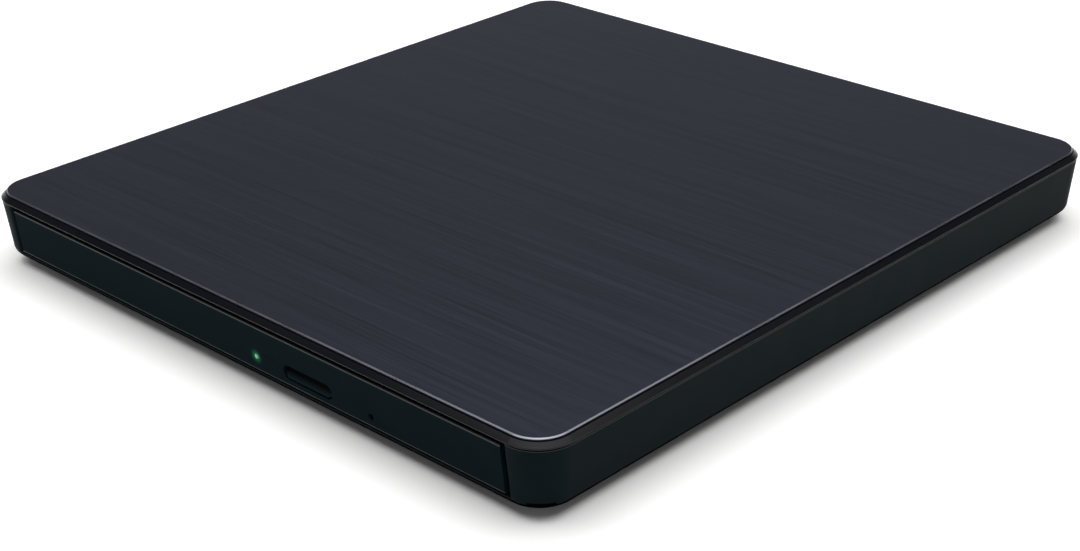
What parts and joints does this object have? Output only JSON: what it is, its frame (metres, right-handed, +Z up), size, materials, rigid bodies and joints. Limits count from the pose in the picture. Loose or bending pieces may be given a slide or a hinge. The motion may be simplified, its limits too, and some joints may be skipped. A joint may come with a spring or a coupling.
{
  "type": "blu-ray burner",
  "caption": "Slim external disc writer in a flat rounded case, with a sliding tray behind a flush front bezel, an eject button, a status light and its full drive mechanism inside.",
  "frame": {"origin": "middle of the footprint, on the plane that the rubber feet stand on", "axes": "+X to the right seen from the front, +Y from the front bezel to the back, +Z up"},
  "size_m": [0.137, 0.145, 0.014],
  "materials": {
    "brushed_panel": "brushed, dark anodised, with a bright cut edge",
    "gloss_black": "high gloss black",
    "black_plastic": "satin black",
    "connector_plastic": "plain moulded black",
    "tray_plastic": "fine matt black",
    "rubber": "soft matt",
    "steel": "zinc plated sheet",
    "dark_steel": "dark plated",
    "circuit_board": "green solder mask",
    "copper": "enamelled copper winding",
    "amber_film": "polyimide film with printed tracks",
    "lens_glass": "coated",
    "green_light": "lit green"
  },
  "bodies": {
    "enclosure": {"top_panel": "brushed_panel", "top_cover": "gloss_black", "bottom_case": "black_plastic", "rubber_foot_1": "rubber", "rubber_foot_2": "rubber", "rubber_foot_3": "rubber", "rubber_foot_4": "rubber", "case_screw_left": "dark_steel", "case_screw_right": "dark_steel", "drive_screw_left": "dark_steel", "drive_screw_right": "dark_steel", "bridge_board": "circuit_board", "usb_socket": "steel", "sata_plug": "connector_plastic", "drive_base": "steel", "drive_cover": "steel", "rail_guide_left": "connector_plastic", "rail_guide_right": "connector_plastic", "lock_post": "dark_steel", "main_board": "circuit_board", "sata_socket": "connector_plastic", "flex_cable": "amber_film"},
    "left_rail": {"rail_left": "steel"},
    "right_rail": {"rail_right": "steel"},
    "tray_unit": {"tray": "tray_plastic", "bezel": "black_plastic", "led_light_pipe": "green_light", "switch_board": "circuit_board", "eject_switch": "dark_steel", "tray_bottom_plate": "steel", "lock_solenoid": "copper", "eject_spring": "steel", "traverse_frame": "dark_steel", "traverse_cover": "tray_plastic", "damper_1": "rubber", "damper_2": "rubber", "damper_3": "rubber", "damper_screw_1": "steel", "damper_screw_2": "steel", "damper_screw_3": "steel", "guide_rod_main": "steel", "guide_rod_sub": "steel", "spindle_base": "dark_steel", "stator": "copper", "sled_motor": "dark_steel"},
    "button": {"eject_button": "black_plastic"},
    "rotor": {"turntable": "steel", "turntable_pad": "rubber"},
    "claw_1": {"disc_claw_1": "connector_plastic"},
    "claw_2": {"disc_claw_2": "connector_plastic"},
    "claw_3": {"disc_claw_3": "connector_plastic"},
    "pickup": {"pickup_carriage": "dark_steel"},
    "lens": {"lens_holder": "tray_plastic", "objective_lens_blue": "lens_glass", "objective_lens_red": "lens_glass"},
    "screw": {"lead_screw": "steel"},
    "lever": {"lock_lever": "connector_plastic"},
    "plunger": {"lock_plunger": "steel"},
    "pusher": {"eject_pusher": "steel"}
  },
  "joints": [
    {"name": "tray_slide", "type": "slide", "parent": "enclosure", "child": "tray_unit", "axis": [0, -1, 0], "range_m": [0, 0.13], "deforming": ["flex_cable"]},
    {"name": "left_rail_slide", "type": "slide", "parent": "enclosure", "child": "left_rail", "axis": [0, -1, 0], "range_m": [0, 0.065]},
    {"name": "right_rail_slide", "type": "slide", "parent": "enclosure", "child": "right_rail", "axis": [0, -1, 0], "range_m": [0, 0.065]},
    {"name": "button_press", "type": "slide", "parent": "tray_unit", "child": "button", "axis": [0, 1, 0], "range_m": [0, 0.0003], "stiffness_N_per_m": 800, "springref_m": -0.001},
    {"name": "spindle_spin", "type": "hinge", "parent": "tray_unit", "child": "rotor", "pos_m": [0, -0.0045, 0.0065], "axis": [0, 0, 1], "continuous": true},
    {"name": "claw_1_slide", "type": "slide", "parent": "rotor", "child": "claw_1", "axis": [0.7071, 0.7071, 0], "range_m": [0, 0.0006], "stiffness_N_per_m": 600, "springref_m": -0.0005},
    {"name": "claw_2_slide", "type": "slide", "parent": "rotor", "child": "claw_2", "axis": [-0.9659, 0.2588, 0], "range_m": [0, 0.0006], "stiffness_N_per_m": 600, "springref_m": -0.0005},
    {"name": "claw_3_slide", "type": "slide", "parent": "rotor", "child": "claw_3", "axis": [0.2588, -0.9659, 0], "range_m": [0, 0.0006], "stiffness_N_per_m": 600, "springref_m": -0.0005},
    {"name": "pickup_slide", "type": "slide", "parent": "tray_unit", "child": "pickup", "axis": [-0.7071, -0.7071, 0], "range_m": [0, 0.035]},
    {"name": "lens_focus", "type": "slide", "parent": "pickup", "child": "lens", "axis": [0, 0, 1], "range_m": [-0.0004, 0.0004], "stiffness_N_per_m": 30},
    {"name": "lead_screw_turn", "type": "hinge", "parent": "tray_unit", "child": "screw", "pos_m": [0.0123, -0.0168, 0.00555], "axis": [-0.7071, -0.7071, 0], "range_deg": [0, 4201]},
    {"name": "lock_lever_turn", "type": "hinge", "parent": "tray_unit", "child": "lever", "pos_m": [0.046, -0.036, 0.0048], "axis": [0, 0, 1], "range_deg": [0, 14]},
    {"name": "lock_plunger_slide", "type": "slide", "parent": "tray_unit", "child": "plunger", "axis": [-1, 0, 0], "range_m": [0, 0.00171]},
    {"name": "pusher_slide", "type": "slide", "parent": "tray_unit", "child": "pusher", "axis": [0, 1, 0], "range_m": [0, 0.00801], "deforming": ["eject_spring"]}
  ],
  "couplings": [
    {"joint": "left_rail_slide", "follows": "tray_slide", "ratio": 0.5},
    {"joint": "right_rail_slide", "follows": "tray_slide", "ratio": 0.5},
    {"joint": "pusher_slide", "follows": "tray_slide", "ratio": 0.061539},
    {"joint": "lead_screw_turn", "follows": "pickup_slide", "rad_per_m": 2094.4},
    {"joint": "lock_lever_turn", "follows": "lock_plunger_slide", "rad_per_m": 142.86}
  ]
}
